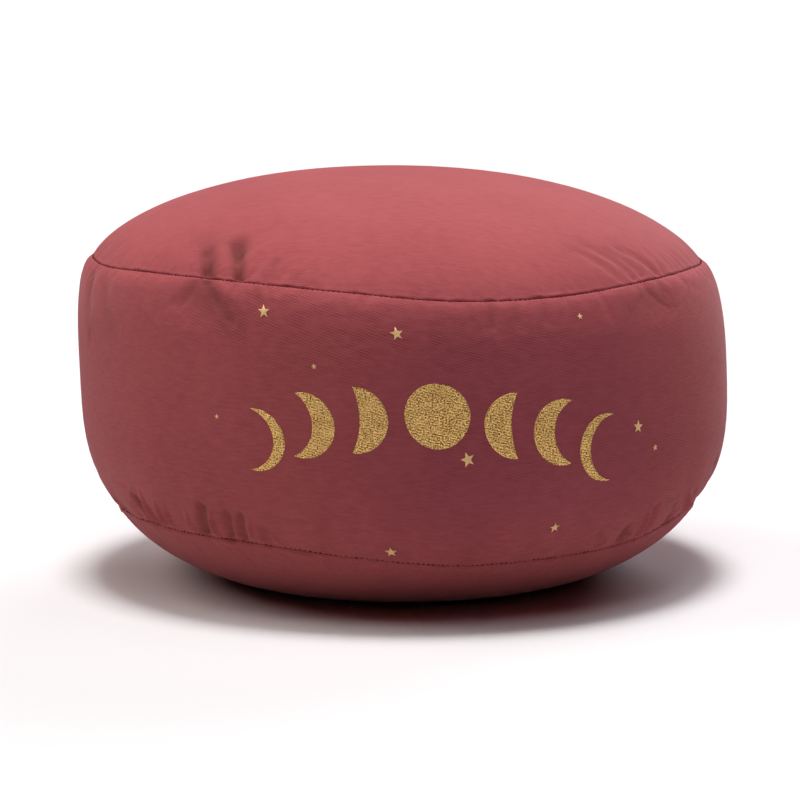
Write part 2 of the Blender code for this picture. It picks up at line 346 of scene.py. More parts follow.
# %% Lay the puckers
PUCKER_ROWS = table(
    "seam side count depth width length lean",
    ("bottom", -1, 150, 0.0010, 0.0026, 0.0140, 0.25),
    ("bottom", 1, 90, 0.0003, 0.0030, 0.0080, 0.30),
    ("top", -1, 130, 0.0007, 0.0024, 0.0100, 0.50),
    ("top", 1, 110, 0.0006, 0.0026, 0.0090, 0.40),
)
Pucker = namedtuple("Pucker", "seam side angle depth width length lean")
PUCKER_SEED = 11
JITTER = 0.38
DEPTHS = (0.3, 1.4)
WIDTHS = (0.8, 1.3)
LENGTHS = (0.5, 1.5)


def lay_puckers():
    chance = np.random.RandomState(PUCKER_SEED)
    laid = []
    for row in PUCKER_ROWS:
        seam = TOP_SEAM if row.seam == "top" else BOTTOM_SEAM
        for number in range(row.count):
            angle = -180 + (number + chance.uniform(-JITTER, JITTER)) * 360 / row.count
            ease = float(round_table(np.array(angle), EASES, row.seam))
            depth = row.depth * ease * chance.uniform(*DEPTHS)
            width = row.width * chance.uniform(*WIDTHS)
            length = row.length * chance.uniform(*LENGTHS)
            lean = row.lean * chance.uniform(-1.0, 1.0)
            laid.append(Pucker(seam, row.side, angle, depth, width, length, lean))
    return laid


puckers = lay_puckers()
print(f"{len(puckers)} puckers, the deepest {max(p.depth for p in puckers) * 1000:.1f} mm")

# %% How deep the puckers are
SEAM_SHARE = 0.3
FULL_DEPTH_AT = 0.002
FAR_LENGTHS = 2
FAR_WIDTHS = 3


def pucker_depth(places, angles):
    """How deep the puckers are at places along the outline (rows) and angles round it (columns)."""
    depth = np.zeros((len(places), len(angles)))
    arc = math.radians(TOP_SEAM_RADIUS)
    for pucker in puckers:
        from_seam = pucker.side * (places - pucker.seam)
        across = turned_apart(angles, pucker.angle) * arc
        far = FAR_LENGTHS * pucker.length
        reach = abs(pucker.lean) * far + FAR_WIDTHS * pucker.width
        rows = np.flatnonzero((from_seam > 0) & (from_seam < far))
        columns = np.flatnonzero(np.abs(across) < reach)
        if not len(rows) or not len(columns):
            continue
        away = from_seam[rows][:, None]
        fade = np.clip(away / FULL_DEPTH_AT, SEAM_SHARE, 1) * np.exp(-((away / pucker.length) ** 2))
        off = (across[columns] - pucker.lean * away) / pucker.width
        depth[np.ix_(rows, columns)] += pucker.depth * fade * np.exp(-(off**2))
    return depth


# %% [markdown]
# Chance alone doesn't put a fold where the real cushion has one, and the crisp folds beside the front are
# what the eye goes to. Each of them is a thin, raised ridge with a broad hollow beside it. The hollows are
# in the table of folds above, and the ridges are here: each starts as nothing, is highest over its lower
# half, and sinks again over the last few millimetres before the seam.

# %% The crisp ridges over the lower seam
RIDGES = table(
    "angle_1 height_1 angle_2 height_2 width rise",
    (-145.6, 0.0564, -143.4, 0.0375, 0.0013, 0.0024),
    (-141.0, 0.0536, -140.6, 0.0375, 0.0011, 0.0020),
    (-138.5, 0.0514, -139.0, 0.0375, 0.0011, 0.0018),
    (-132.9, 0.0508, -134.2, 0.0375, 0.0013, 0.0015),
    (-126.9, 0.0552, -127.3, 0.0352, 0.0018, 0.0021),
    (-122.1, 0.0491, -123.2, 0.0375, 0.0014, 0.0012),
    (-118.7, 0.0504, -119.2, 0.0370, 0.0014, 0.0018),
    (-114.9, 0.0423, -114.4, 0.0370, 0.0013, 0.0012),
    (-49.4, 0.0439, -48.2, 0.0375, 0.0013, 0.0010),
    (-42.7, 0.0442, -41.0, 0.0375, 0.0014, 0.0014),
    (-40.2, 0.0547, -39.0, 0.0385, 0.0012, 0.0018),
    (-27.4, 0.0540, -23.7, 0.0375, 0.0014, 0.0022),
)
RIDGE_GROWTH = 0.5
RIDGE_FADE = 0.0050


def ridge_rise(places, angles):
    """How high the ridges stand at places along the outline (rows) and angles round it (columns)."""
    heights = on_outline(places)[1][:, None]
    rise = np.zeros((len(places), len(angles)))
    arc = math.radians(WIDEST_RADIUS)
    for ridge in RIDGES:
        end = (turned_apart(ridge.angle_2, ridge.angle_1) * arc, ridge.height_2)
        across = turned_apart(angles, ridge.angle_1) * arc
        share, off = by_line(across, heights, (0.0, ridge.height_1), end)
        rise += ridge.rise * np.clip(share / RIDGE_GROWTH, 0, 1) * np.exp(-((off / ridge.width) ** 2))
    over_seam = np.clip((heights - BOTTOM_SEAM_HEIGHT) / RIDGE_FADE, 0, 1)
    return np.where((places > TOP_SEAM)[:, None], rise * over_seam, 0.0)


# %% [markdown]
# ## The seams in section
# At each seam the two cloths turn in to the stitches. The upper cloth rolls over a little as a lip, and the
# seam itself is a narrow groove. A boolean could cut the groove, but it would leave ragged faces. Here the
# relief is a height above the outline, worked out from the distance to the seam, and the rings of the mesh
# simply stand close enough together to show it. No two stitches pull alike, so two random tables, a quick
# one and a slow one, make the relief deeper and shallower round the seam. A third shifts it by a hair.

# %% The relief across a seam
RELIEFS = table(
    "seam offset height width",
    ("top", -0.0012, 0.0003, 0.0010),
    ("top", 0.0002, -0.0002, 0.0004),
    ("top", 0.0012, 0.0001, 0.0006),
    ("bottom", -0.0004, -0.0004, 0.0006),
    ("bottom", 0.0018, 0.0004, 0.0013),
)
NORMAL_SPAN = 0.002


def outward(places):
    """The outline's outward direction (radius, height), a little smoothed over its corners."""
    behind = np.stack(on_outline(places - NORMAL_SPAN), axis=1)
    ahead = np.stack(on_outline(places + NORMAL_SPAN), axis=1)
    run = ahead - behind
    run /= np.linalg.norm(run, axis=1, keepdims=True)
    return np.stack([-run[:, 1], run[:, 0]], axis=1)


# %% No two stitches pull alike
PULLS = table("count least most", (390, 0.3, 1.7), (67, 0.5, 1.5))
PULL_SEED = 5
SHIFT_COUNT = 230
FURTHEST_SHIFT = 0.0004
chance = np.random.RandomState(PULL_SEED)
pulls = [chance.uniform(pull.least, pull.most, pull.count) for pull in PULLS]
shifts = chance.uniform(-FURTHEST_SHIFT, FURTHEST_SHIFT, SHIFT_COUNT)


def read_round(values, angles):
    """Values that go evenly round the cushion, read in straight runs at any angles."""
    closed = np.append(values, values[0])
    return np.interp(angles % 360, np.linspace(0, 360, len(closed)), closed)


def seam_relief(places, angles):
    """The height of the relief at places along the outline (rows) and angles round it (columns)."""
    height = np.zeros((len(places), len(angles)))
    shift = read_round(shifts, angles)
    for relief in RELIEFS:
        seam = TOP_SEAM if relief.seam == "top" else BOTTOM_SEAM
        off = (places[:, None] - seam - relief.offset - shift) / relief.width
        height += relief.height * np.exp(-(off**2))
    return height * read_round(pulls[0], angles) * read_round(pulls[1], angles)


# %% The band's own join, at the back
JOIN_ANGLE = 90.0
JOIN_DEPTH = 0.0005
JOIN_WIDTH = 0.0010


def join_relief(places, angles):
    """A groove straight across the band, where its two ends are sewn together."""
    across = turned_apart(angles, JOIN_ANGLE) * math.radians(WIDEST_RADIUS)
    on_strip = (places > TOP_SEAM) & (places < BOTTOM_SEAM)
    return np.where(on_strip[:, None], -JOIN_DEPTH * np.exp(-((across / JOIN_WIDTH) ** 2)), 0.0)


# %% The skin before the solver
def skin_grid(places, angles, sink=0.0, sewn=True):
    """The skin at places along the outline (rows) and angles round it (columns)."""
    radius, height = on_outline(places)
    facing = outward(places)
    lift = -sink - pucker_depth(places, angles)
    if sewn:
        lift = lift + seam_relief(places, angles) + join_relief(places, angles)
        lift = lift + ridge_rise(places, angles)
    return settle(radius[:, None] + facing[:, :1] * lift, height[:, None] + facing[:, 1:] * lift, angles)


# %% [markdown]
# ## Blow it up
# Troughs laid by a rule look laid by a rule. Blender's cloth solver lets the skin find its own rest: a net
# of rings and spokes is held fast on the seam lines, grown by a few percent beside them, and pressed out
# from inside as the filling does. Remeshing to even voxels is the usual start, but it would blur the seam
# lines, so the net is built in order. Only the unevenness is kept from the solver: each ring's mean
# swelling is taken out again, and the outline stays the one in the frame.

# %% Helpers for new objects
def add_object(name, data):
    """An object that holds a mesh, a light or a camera, in the scene."""
    thing = bpy.data.objects.new(name, data)
    bpy.context.scene.collection.objects.link(thing)
    return thing


def new_piece(name, points, faces):
    """A smooth mesh object from its points and faces."""
    mesh = bpy.data.meshes.new(name)
    mesh.from_pydata(np.asarray(points).tolist(), [], faces)
    mesh.shade_smooth()
    return add_object(name, mesh)


# %% The net of rings and spokes
SPOKES = 512
RING_STEP = 0.002
EVEN_REACH = 0.024
RING_GROWTH = 1.2
WIDEST_STEP = 0.005
CROWN_REACH = 0.062


def away_from_seam(reach, step):
    """Distances from a seam: even and close at first, then wider and wider, up to reach."""
    places = [0.0]
    while places[-1] < reach:
        if places[-1] > EVEN_REACH:
            step = min(step * RING_GROWTH, WIDEST_STEP)
        places.append(places[-1] + step)
    return np.array(places) * reach / places[-1]


half_band = away_from_seam((BOTTOM_SEAM - TOP_SEAM) / 2, RING_STEP)
rings = np.concatenate(
    [
        TOP_SEAM - away_from_seam(CROWN_REACH, RING_STEP)[::-1],
        TOP_SEAM + half_band[1:],
        BOTTOM_SEAM - half_band[-2::-1],
        BOTTOM_SEAM + away_from_seam(FOOT_EDGE - BOTTOM_SEAM, RING_STEP)[1:],
    ]
)
spokes = np.arange(SPOKES) * 360 / SPOKES
net = skin_grid(rings, spokes, sewn=False)
print(f"The net has {len(rings)} rings of {SPOKES} points")

# %% How the cloth behaves
MOST_EASE = 0.05
CLOTH_SETTINGS = {
    "quality": 5,
    "mass": 0.005,
    "air_damping": 1.0,
    "vertex_group_mass": "held",
    "use_pressure": True,
    "uniform_pressure_force": 20.0,
    "tension_stiffness": 15.0,
    "compression_stiffness": 15.0,
    "bending_stiffness": 0.01,
    "vertex_group_shrink": "eased",
    "shrink_min": 0.0,
    "shrink_max": -MOST_EASE,
}
TOP_EASE_REACH = 0.012
BOTTOM_EASE_REACH = 0.015
PANEL_SHARE = 0.35


def ease_at(place, angle):
    """The share of MOST_EASE at each place of the cloth."""
    from_top = place - TOP_SEAM
    from_bottom = BOTTOM_SEAM - place
    top = round_table(angle, EASES, "top") * np.exp(-((from_top / TOP_EASE_REACH) ** 2))
    top = top * np.where(from_top > 0, PANEL_SHARE, 1.0)
    bottom = round_table(angle, EASES, "bottom") * np.exp(-((from_bottom / BOTTOM_EASE_REACH) ** 2))
    bottom = bottom * np.where(from_bottom < 0, PANEL_SHARE, 1.0)
    return np.clip(top + bottom, 0, 1)


# %% The solver
LAST_FRAME = 20
LEAST_EASE = 0.001


def grid_faces(rows, columns):
    """Quads between rings that close on themselves, facing outwards."""
    here = np.arange(columns)
    there = (here + 1) % columns
    start = (np.arange(rows - 1) * columns)[:, None]
    corners = [start + here, start + columns + here, start + columns + there, start + there]
    return np.stack(corners, axis=-1).reshape(-1, 4)


def blown_up(points):
    """The net after the cloth solver, as an array of the same form."""
    rows, columns, _ = points.shape
    skin = new_piece("net", points.reshape(-1, 3), grid_faces(rows, columns).tolist())
    mesh = skin.data
    held = skin.vertex_groups.new(name="held")
    seams = [int(np.argmin(abs(rings - seam))) for seam in (TOP_SEAM, BOTTOM_SEAM)]
    fixed = sorted({0, rows - 1, *seams})
    held.add([ring * columns + spoke for ring in fixed for spoke in range(columns)], 1.0, "REPLACE")
    eased = skin.vertex_groups.new(name="eased")
    shares = ease_at(rings[:, None], np.broadcast_to(spokes, (rows, columns))).ravel()
    for index in np.flatnonzero(shares > LEAST_EASE).tolist():
        eased.add([index], float(shares[index]), "REPLACE")
    cloth = skin.modifiers.new("cloth", "CLOTH")
    for setting, value in CLOTH_SETTINGS.items():
        setattr(cloth.settings, setting, value)
    cloth.settings.effector_weights.gravity = 0.0
    for number in range(1, LAST_FRAME + 1):
        bpy.context.scene.frame_set(number)
    solved = skin.evaluated_get(bpy.context.evaluated_depsgraph_get())
    places = np.zeros(rows * columns * 3, np.float32)
    solved.data.vertices.foreach_get("co", places)
    bpy.data.objects.remove(skin, do_unlink=True)
    bpy.data.meshes.remove(mesh)
    bpy.context.scene.frame_set(1)
    return places.astype(float).reshape(rows, columns, 3)


def facing_out(points):
    """The outward direction at each point of a net."""
    down = np.gradient(points, axis=0)
    round_it = np.roll(points, -1, axis=1) - np.roll(points, 1, axis=1)
    facing = np.cross(down, round_it)
    return facing / np.linalg.norm(facing, axis=2, keepdims=True)


# %% Keep the unevenness and not the swelling
FURTHEST_MOVE = 0.003
NO_MOVE = 1e-9
moves = np.zeros_like(net)
moves = blown_up(net) - net
facing = facing_out(net)
swelling = (moves * facing).sum(axis=2).mean(axis=1)
moves -= swelling[:, None, None] * facing
far = np.linalg.norm(moves, axis=2, keepdims=True)
moves *= np.minimum(1.0, FURTHEST_MOVE / np.maximum(far, NO_MOVE))
print(f"The solver moved the skin by up to {far.max() * 1000:.1f} mm")


# %% Read the solver's result between its rings and spokes
def read_along(known, values, wanted):
    """Rows of values at the known places, read smoothly (Hermite) at the wanted places."""
    slope = np.gradient(values, known, axis=0)
    row = np.clip(np.searchsorted(known, wanted) - 1, 0, len(known) - 2)
    width = known[row + 1] - known[row]
    share = np.clip((wanted - known[row]) / width, 0, 1)[:, None, None]
    rest = 1 - share
    near = values[row] * (1 + 2 * share) * rest**2
    far = values[row + 1] * (1 + 2 * rest) * share**2
    bend = slope[row] * rest - slope[row + 1] * share
    return near + far + width[:, None, None] * share * rest * bend


def moves_at(places, angles):
    """The solver's moves at places along the outline (rows) and angles round it (columns)."""
    return read_curved(read_along(rings, moves, places), angles % 360 * SPOKES / 360, axis=1)


def skin_at(places, angles):
    """The finished skin at places along the outline (rows) and angles round it (columns)."""
    return skin_grid(places, angles) + moves_at(places, angles)


# %% [markdown]
# ## The three cloths as meshes
# A round cloth made of rings and spokes has too many spokes in its middle. A grid squeezed into a circle
# would avoid that, but then no ring could follow the seam. So the rings stay, and the number of spokes is
# halved on the way in, with a row of triangles at each change. Each corner also gets its place on the flat
# cloth, in metres, as a UV map: the weave then runs as it was cut, straight over the panels and round the
# band. The two panels are thin sheets. The band is closed under them, so it stays one full, filled form.

# %% Where the rings and spokes of the finished mesh are
MOST_SPOKES = 1024
CLOSER_IN_FRONT = 0.5
FEWEST_SPOKES = 32
LEAST_SPACING = 0.002
FINE_STEP = 0.001
SEAM_DETAIL = np.array([0.0, 0.0004, 0.0008, 0.0012, 0.0016, 0.0020, 0.0025])


def fine_from_seam(reach):
    """Distances from a seam for the finished mesh, closest together where the seam's relief is."""
    steps = away_from_seam(reach, FINE_STEP)
    return np.concatenate([SEAM_DETAIL, steps[steps > SEAM_DETAIL[-1] + FINE_STEP / 2]])


def spokes_inwards(places, seam):
    """How many spokes each ring of a panel has, from its seam to its middle."""
    spokes_now = MOST_SPOKES
    counts = []
    for place in places:
        if abs(place - seam) > EVEN_REACH:
            room = 2 * math.pi * on_outline(place)[0] / LEAST_SPACING
            wanted = 2 ** int(math.log2(max(room, FEWEST_SPOKES)))
            spokes_now = max(spokes_now // 2, wanted) if wanted < spokes_now else spokes_now
        counts.append(spokes_now)
    return counts


def turned_by(count):
    """How far each spoke has turned from the band's join, closer together at the front than at the back."""
    share = np.arange(count + 1) / count
    return 360 * (share + CLOSER_IN_FRONT * np.sin(2 * math.pi * share) / (2 * math.pi))


def turns(count):
    """Angles of the spokes, starting at the band's own join at the back."""
    return JOIN_ANGLE + turned_by(count)[:-1]


# %% Faces between two rings
def faces_between(start, count, next_start, next_count):
    """Faces between two rings of equal, halved or doubled count, as (vertex, spoke, ring) corners."""
    if count < next_count:
        flipped = faces_between(next_start, next_count, start, count)
        return [[(vertex, spoke, 1 - ring) for vertex, spoke, ring in face[::-1]] for face in flipped]
    ring_a = [(start + k % count, k, 0) for k in range(count + 1)]
    ring_b = [(next_start + k % next_count, k, 1) for k in range(next_count + 1)]
    if count == next_count:
        return [(ring_a[k], ring_b[k], ring_b[k + 1], ring_a[k + 1]) for k in range(count)]
    if next_count == 1:
        return [(ring_a[k], ring_b[0], ring_a[k + 1]) for k in range(count)]
    faces = []
    for k in range(next_count):
        before, halfway, after = ring_a[2 * k : 2 * k + 3]
        faces.append((before, ring_b[k], halfway))
        faces.append((halfway, ring_b[k], ring_b[k + 1]))
        faces.append((halfway, ring_b[k + 1], after))
    return faces


# %% Sew rings of points into a mesh
Ring = namedtuple("Ring", "points grain crease")
# Deep folds get painted shade: their colour darkens with depth, fully at this depth.
FULL_CREASE_SHADE_DEPTH = 0.0050


def crease_shade_at(place, angles):
    """How deep in a fold each point of a ring lies, from 0 to 1: the share of painted shade in its colour.
    """
    radius, height = on_outline(place)
    turn = np.radians(angles)
    if place < TOP_SEAM:
        depth = crown_hollow(radius * np.cos(turn), radius * np.sin(turn))
    else:
        depth = band_hollow(angles, np.full(len(angles), height))
        depth = depth - ridge_rise(np.array([place]), angles)[0]
    return np.clip(depth / FULL_CREASE_SHADE_DEPTH, 0, 1)


def sew(name, sewn_rings):
    """An object from rings listed from above downwards, with its grain map and its painted crease shade."""
    counts = [len(ring.points) for ring in sewn_rings]
    starts = np.cumsum([0] + counts).tolist()
    faces, grain = [], []
    for number, pair in enumerate(zip(sewn_rings, sewn_rings[1:])):
        for face in faces_between(starts[number], counts[number], starts[number + 1], counts[number + 1]):
            faces.append([vertex for vertex, _, _ in face])
            grain.extend(pair[side].grain[spoke] for _, spoke, side in face)
    piece = new_piece(name, np.concatenate([ring.points for ring in sewn_rings]), faces)
    mesh = piece.data
    mesh.uv_layers.new(name="grain").data.foreach_set("uv", np.array(grain, np.float32).ravel())
    crease_shades = np.concatenate([ring.crease for ring in sewn_rings]).astype(np.float32)
    mesh.attributes.new("crease", "FLOAT", "POINT").data.foreach_set("value", crease_shades)
    print(f"{name}: {len(mesh.vertices)} points, {len(mesh.polygons)} faces")
    return piece


# %% The grain of each cloth
def round_grain(from_middle, count):
    """Places on a round panel, at a distance from its middle."""
    turn = np.radians(JOIN_ANGLE + turned_by(count))
    return np.stack([from_middle * np.cos(turn), from_middle * np.sin(turn)], axis=1)


def band_grain(place, count):
    """Places on the band, a long strip: along it from its join, and across it."""
    run = np.radians(turned_by(count)) * WIDEST_RADIUS
    return np.stack([run, np.full(count + 1, TOP_SEAM - place)], axis=1)


def panel_rings(places, seam, middle):
    """The rings of a panel, from its seam to its middle."""
    made = []
    for place, count in zip(places, spokes_inwards(places, seam)):
        points = skin_at(np.array([place]), turns(count))[0]
        grain = round_grain(abs(place - middle), count)
        made.append(Ring(points, grain, crease_shade_at(place, turns(count))))
    tip = skin_at(np.array([middle]), turns(1))[0]
    made.append(Ring(tip, np.zeros((2, 2)), np.zeros(1)))
    return made


# %% The two panels
PANEL_CLOTH = 0.0009


def thicken(piece, name, thickness, offset):
    """Gives a thin sheet its thickness, inwards of its points (-1) or outwards (1)."""
    sheet = piece.modifiers.new(name, "SOLIDIFY")
    sheet.thickness = thickness
    sheet.offset = offset


crown_places = TOP_SEAM - fine_from_seam(TOP_SEAM)[:-1]
crown_cloth = sew("crown_cloth", panel_rings(crown_places, TOP_SEAM, 0.0)[::-1])
under_reach = FOOT_EDGE - BOTTOM_SEAM
patch_steps = under_reach + away_from_seam(BASE_RADIUS, WIDEST_STEP)[1:-1]
base_places = BOTTOM_SEAM + np.concatenate([fine_from_seam(under_reach), patch_steps])
base_cloth = sew("base_cloth", panel_rings(base_places, BOTTOM_SEAM, BASE_MIDDLE))
for panel in (crown_cloth, base_cloth):
    thicken(panel, "cloth", PANEL_CLOTH, -1.0)

# %% The filled band
SUNK = 0.0030
LID_STEPS = np.array([0.004, 0.008, 0.012, 0.016, 0.020, 0.025, 0.031, 0.040, 0.055, 0.080, 0.120])
LID_SPOKES = 6 * (512,) + (256, 128, 64, 32, 32)


def lid_rings(places, middle):
    """The hidden top or bottom of the filling, just inside a panel, coarser towards its middle."""
    made = []
    for place, count in zip((*places, middle), (*LID_SPOKES, 1)):
        points = skin_grid(np.array([place]), turns(count), sink=SUNK, sewn=False)[0]
        grain = band_grain(place, count) if count > 1 else np.zeros((2, 2))
        made.append(Ring(points, grain, np.zeros(count)))
    return made


half_band = fine_from_seam((BOTTOM_SEAM - TOP_SEAM) / 2)
band_places = np.concatenate([TOP_SEAM + half_band, BOTTOM_SEAM - half_band[-2::-1]])
band_points = skin_at(band_places, turns(MOST_SPOKES))
side = [
    Ring(points, band_grain(place, MOST_SPOKES), crease_shade_at(place, turns(MOST_SPOKES)))
    for points, place in zip(band_points, band_places)
]
top_lid = lid_rings(TOP_SEAM - LID_STEPS, 0.0)
bottom_lid = lid_rings(BOTTOM_SEAM + LID_STEPS, BASE_MIDDLE)
band_cloth = sew("band_cloth", top_lid[::-1] + side + bottom_lid)

# %% [markdown]
# ## The stitches
# A row of short, dark wine stitches lies in the groove of each seam, a hair's breadth into the band. Their
# dark colour is partly painted shade of the needle pits. They could be a dashed line in the cloth's colour,
# but real thread catches the light and sinks into the cloth, so each stitch is a small rounded bead of
# thread, laid on the finished skin. A fixed seed shifts and slants every stitch a little, and sinks whole
# stretches deeper than others, as no seam is fed evenly. The join of the band is on the back, away from the
# camera, where a maker hides it: it has the same thread.

# %% One shape for every stitch
STITCH_PITCH = 0.0025
STITCH_LENGTH = 0.0015
THREAD_WIDTH = 0.00085
THREAD_SIDES = 6
THREAD_SUNK = 0.36
SUNK_JITTER = 0.25
SUNK_STRETCH = 9
STRETCH_SUNK = 0.32
SLANT_JITTER = 0.00025
THREAD_SEED = 3
THREAD_PROFILE = ((-0.44, 0.6), (-0.25, 0.95), (0.0, 1.0), (0.25, 0.95), (0.44, 0.6))


def lay_thread(name, starts, ends, outs):
    """A bead of thread from each start to each end, on the side of the skin that outs point to."""
    run = ends - starts
    out = outs - run * ((outs * run).sum(1) / (run * run).sum(1))[:, None]
    out /= np.linalg.norm(out, axis=1, keepdims=True)
    side = np.cross(run, out)
    side /= np.linalg.norm(side, axis=1, keepdims=True)
    chance = np.random.RandomState(THREAD_SEED)
    count = len(starts)
    jitter, shift, slant = chance.uniform(-1, 1, (3, count, 1))
    stretches = chance.uniform(0, STRETCH_SUNK, count // SUNK_STRETCH + 2)
    sunk = np.interp(np.arange(count) / SUNK_STRETCH, np.arange(len(stretches)), stretches)[:, None]
    sunk = THREAD_SUNK + sunk + jitter * SUNK_JITTER
    run = run + side * slant * SLANT_JITTER
    middle = (starts + ends) / 2 + side * shift * SLANT_JITTER + out * THREAD_WIDTH * (0.5 - sunk)
    points = []
    for place, thick in THREAD_PROFILE:
        for turn in np.arange(THREAD_SIDES) * 2 * math.pi / THREAD_SIDES:
            ring = side * math.cos(turn) + out * math.sin(turn)
            points.append(middle + run * place + ring * thick * THREAD_WIDTH / 2)
    points += [middle - run / 2, middle + run / 2]
    each = len(points)
    rows = len(THREAD_PROFILE)
    last_row = (rows - 1) * THREAD_SIDES
    faces = []
    for side_number in range(THREAD_SIDES):
        beside = (side_number + 1) % THREAD_SIDES
        faces.append((each - 2, beside, side_number))
        faces.append((each - 1, last_row + side_number, last_row + beside))
        for row in range(rows - 1):
            here, there = row * THREAD_SIDES, (row + 1) * THREAD_SIDES
            faces.append((here + side_number, here + beside, there + beside, there + side_number))
    all_faces = [[corner + each * number for corner in face] for number in range(count) for face in faces]
    print(f"{name}: {count} stitches")
    return new_piece(name, np.stack(points, axis=1).reshape(-1, 3), all_faces)


# %% The stitches of the two seams and of the join
SEAM_TO_STITCH = 0.0004
JOIN_TO_STITCH = 0.0015
JOIN_END = 0.004
BESIDE_SEAM = np.array([-0.0005, 0.0, 0.0005])
BESIDE_JOIN = np.array([-0.2, 0.0, 0.2])


def start_to_end(middles, half):
    """The start, middle and end of every stitch, in one row."""
    return np.stack([middles - half, middles, middles + half], axis=1).ravel()


def seam_stitches(name, place):
    radius = float(on_outline(place)[0])
    count = round(2 * math.pi * radius / STITCH_PITCH)
    angles = start_to_end(np.arange(count) * 360 / count, math.degrees(STITCH_LENGTH / 2 / radius))
    strip = skin_at(place + BESIDE_SEAM, angles).reshape(3, count, 3, 3)
    starts, ends = strip[1, :, 0], strip[1, :, 2]
    return lay_thread(name, starts, ends, np.cross(strip[2, :, 1] - strip[0, :, 1], ends - starts))


def join_stitches(name, angle):
    count = round((BOTTOM_SEAM - TOP_SEAM - 2 * JOIN_END) / STITCH_PITCH)
    middles = np.linspace(TOP_SEAM + JOIN_END, BOTTOM_SEAM - JOIN_END, count)
    rows = start_to_end(middles, STITCH_LENGTH / 2)
    strip = skin_at(rows, angle + BESIDE_JOIN).reshape(count, 3, 3, 3)
    starts, ends = strip[:, 0, 1], strip[:, 2, 1]
    return lay_thread(name, starts, ends, np.cross(ends - starts, strip[:, 1, 2] - strip[:, 1, 0]))


top_stitches = seam_stitches("top_seam_stitches", TOP_SEAM + SEAM_TO_STITCH)
bottom_stitches = seam_stitches("bottom_seam_stitches", BOTTOM_SEAM - SEAM_TO_STITCH)
beside_join = JOIN_ANGLE + math.degrees(JOIN_TO_STITCH / WIDEST_RADIUS)
back_stitches = join_stitches("band_join_stitches", beside_join)

# %% [markdown]
# ## The foil print
# The moons and stars are hot-pressed foil. The simplest way is a mask in the cloth's colour, but then their
# edges are only as sharp as the cloth's texture. They are made as thin films that follow the skin instead.
# One rule draws every phase: the lit part lies between the moon's limb and an arc through its two tips, so
# a phase is one row of a table, and the full moon is the row whose inner arc is the other limb.

# %% The phases, from left to right
MOONS = table(
    "angle height lit_side lit_width past_middle turn",
    (-115.6, 0.0935, 1, 0.19, 0.0029, -0.045),
    (-106.9, 0.1018, 1, 0.35, 0.0042, -0.045),
    (-98.0, 0.1056, 1, 0.43, 0.0013, -0.035),
    (-84.4, 0.1081, 1, 1.00, 0.0, 0.0),
    (-71.2, 0.1028, -1, 0.43, 0.0010, -0.020),
    (-62.6, 0.0977, -1, 0.35, 0.0050, -0.042),
    (-53.9, 0.0874, -1, 0.19, 0.0040, -0.047),
)

# %% Places on the band
FOIL_LIFT = 0.00012
PATCH_REACH = 0.019
PATCH_STEP = 0.0005
HEIGHT_TRIES = 300


def place_at(height, angle):
    """The place along the cloth that lies at a height on the band, at an angle."""
    tries = np.linspace(TOP_SEAM, BOTTOM_SEAM, HEIGHT_TRIES)
    heights = skin_grid(tries, np.array([angle]), sewn=False)[:, 0, 2]
    return float(np.interp(height, heights[::-1], tries[::-1]))


def on_band(angle, height, across, up):
    """Places just above the skin, across and up from a point of the band."""
    place = place_at(height, angle)
    steps = np.arange(-PATCH_REACH, PATCH_REACH + PATCH_STEP, PATCH_STEP)
    patch = skin_at(place + steps, angle + np.degrees(steps / on_outline(place)[0]))
    patch = patch + facing_out(patch) * FOIL_LIFT
    share = np.stack([(PATCH_REACH - up) / PATCH_STEP, (PATCH_REACH + across) / PATCH_STEP])
    row, column = np.floor(share).astype(int)
    down, right = (share - np.floor(share))[:, :, None]
    upper = patch[row, column] * (1 - right) + patch[row, column + 1] * right
    lower = patch[row + 1, column] * (1 - right) + patch[row + 1, column + 1] * right
    return upper * (1 - down) + lower * down


# %% The lit part of a moon
MOON_RADIUS = 0.0157
LIMB_STEPS = 96
FOIL_STEP = 0.0012


def moon_shape(moon):
    """(across, up) of the lit part, as rows from the limb inwards."""
    tip = -moon.past_middle
    tip_up = math.sqrt(MOON_RADIUS**2 - tip**2)
    inner = MOON_RADIUS * (1 - 2 * moon.lit_width)
    middle = (inner**2 - MOON_RADIUS**2) / (2 * (inner - tip))
    bulge = 1 if inner > tip else -1
    limb = math.atan2(tip_up, tip)
    arc = math.atan2(tip_up, bulge * (tip - middle))
    turn = np.linspace(-1, 1, LIMB_STEPS + 1)
    outer = np.stack([np.cos(turn * limb), np.sin(turn * limb)]) * MOON_RADIUS
    size = abs(inner - middle)
    edge = np.stack([middle + bulge * size * np.cos(turn * arc), size * np.sin(turn * arc)])
    steps = max(2, round(2 * MOON_RADIUS * moon.lit_width / FOIL_STEP))
    rows = [outer + (edge - outer) * step / steps for step in range(steps + 1)]
    cos, sin = math.cos(moon.turn), math.sin(moon.turn)
    shape = [(row[0] * moon.lit_side, row[1]) for row in rows]
    return [(across * cos - up * sin, across * sin + up * cos) for across, up in shape]


# %% [markdown]
# The rows of a moon meet in its two tips, so the end columns would be many points in one place. They are
# merged afterwards, which leaves clean triangles there and no loose edges.

# %% Press the moons
FOIL_FILM = 0.0001
MERGE_WITHIN = 0.00002


def press_foil(name, points, faces):
    piece = new_piece(name, points, faces)
    joined = bmesh.new()
    joined.from_mesh(piece.data)
    bmesh.ops.remove_doubles(joined, verts=joined.verts, dist=MERGE_WITHIN)
    joined.normal_update()
    joined.to_mesh(piece.data)
    joined.free()
    thicken(piece, "film", FOIL_FILM, 1.0)
    print(f"{name}: {len(piece.data.polygons)} faces")
    return piece


